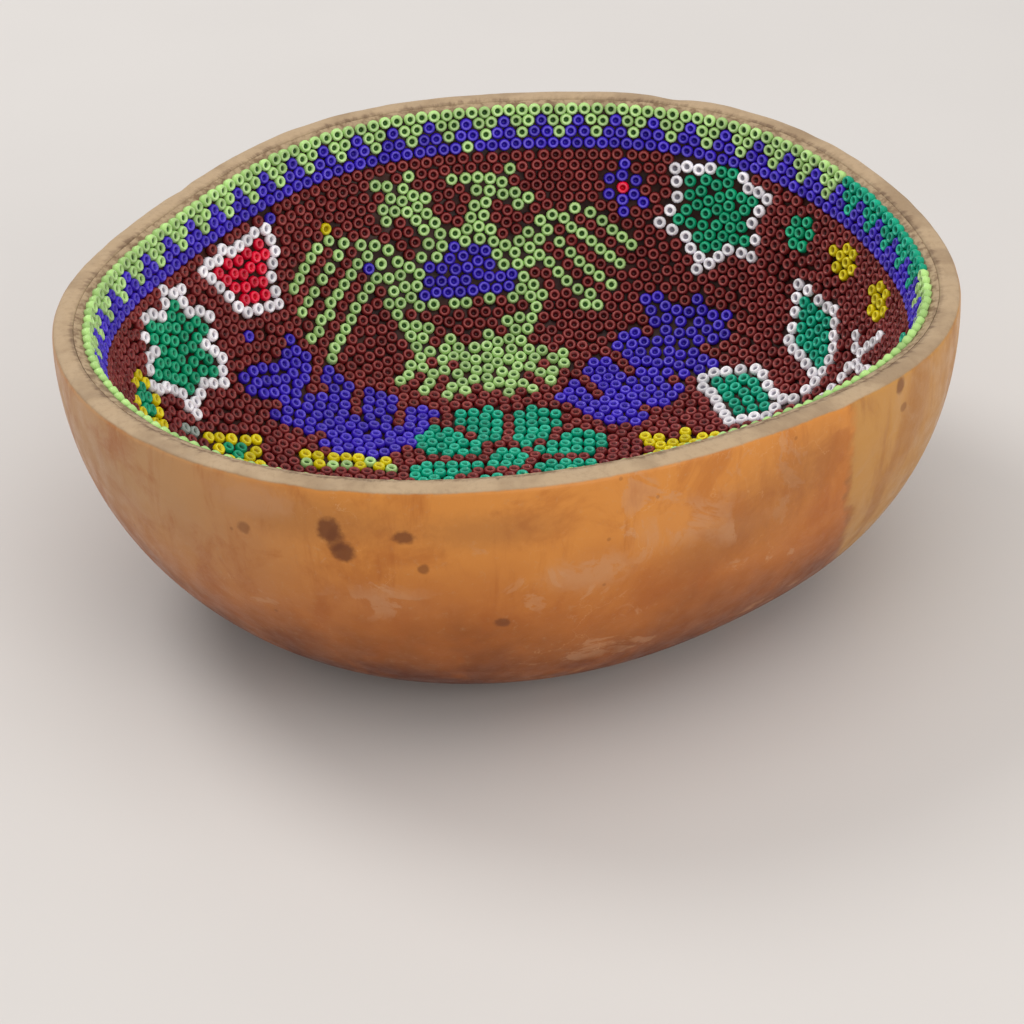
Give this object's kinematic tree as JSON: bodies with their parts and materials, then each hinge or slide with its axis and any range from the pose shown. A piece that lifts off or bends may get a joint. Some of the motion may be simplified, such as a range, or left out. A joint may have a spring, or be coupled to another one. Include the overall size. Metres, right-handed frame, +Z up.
{
  "type": "beaded gourd bowl",
  "caption": "Wide, shallow bowl cut from half a dried gourd, its inside lined with wax and covered with glass seed beads in a toothed border and figures.",
  "frame": {"origin": "on the surface that the bowl stands on, under the middle of its plan outline", "axes": "+X along the longer way across the rim, +Y across it, towards the heads of the bird figure, +Z up"},
  "size_m": [0.1388, 0.1302, 0.0499],
  "materials": {
    "gourd": "satin",
    "wax": "satin",
    "beads_light_green": "gloss",
    "beads_green": "gloss",
    "beads_teal": "gloss",
    "beads_blue": "gloss",
    "beads_oxblood": "gloss",
    "beads_yellow": "gloss",
    "beads_red": "gloss",
    "beads_white": "gloss",
    "beads_clear": "gloss"
  },
  "bodies": {
    "root": {"gourd_shell": "gourd", "wax_lining": "wax", "border_teeth_light": "beads_light_green", "border_teeth_teal": "beads_teal", "border_band_blue": "beads_blue", "bird_flame": "beads_blue", "bird_tail": "beads_light_green", "bird_breast": "beads_oxblood", "bird_body": "beads_light_green", "bird_head_left": "beads_light_green", "bird_head_right": "beads_light_green", "bead_blue_3": "beads_blue", "bird_wing_left": "beads_light_green", "bird_wing_right": "beads_light_green", "leaf_left": "beads_blue", "leaf_right": "beads_blue", "flower_petal_1": "beads_teal", "flower_petal_2": "beads_teal", "flower_petal_3": "beads_teal", "flower_petal_4": "beads_teal", "flower_petal_5": "beads_teal", "flower_petal_6": "beads_teal", "flower_petal_7": "beads_teal", "flower_petal_8": "beads_teal", "flower_eye": "beads_teal", "arrowhead": "beads_red", "arrowhead_outline": "beads_white", "turtle": "beads_green", "turtle_outline": "beads_white", "star_green": "beads_green", "star_green_outline": "beads_white", "star_blue_eye": "beads_red", "star_blue": "beads_blue", "star_small": "beads_green", "star_yellow_1": "beads_yellow", "star_yellow_2": "beads_yellow", "star_teal": "beads_teal", "star_near_1": "beads_yellow", "star_near_2": "beads_green", "star_near_3": "beads_blue", "star_near_4": "beads_teal", "star_near_5": "beads_yellow", "plant_leaf_upper": "beads_teal", "plant_leaf_upper_outline": "beads_white", "plant_leaf_lower": "beads_teal", "plant_leaf_lower_outline": "beads_white", "plant_stem": "beads_white", "plant_branch": "beads_white", "crown": "beads_yellow", "edged_leaf": "beads_green", "edged_leaf_outline": "beads_yellow", "cluster_clear": "beads_clear", "diamond": "beads_green", "diamond_outline": "beads_yellow", "row_yellow": "beads_yellow", "bead_yellow": "beads_yellow", "bead_blue_1": "beads_blue", "bead_blue_2": "beads_blue", "ground": "beads_oxblood"}
  },
  "joints": []
}
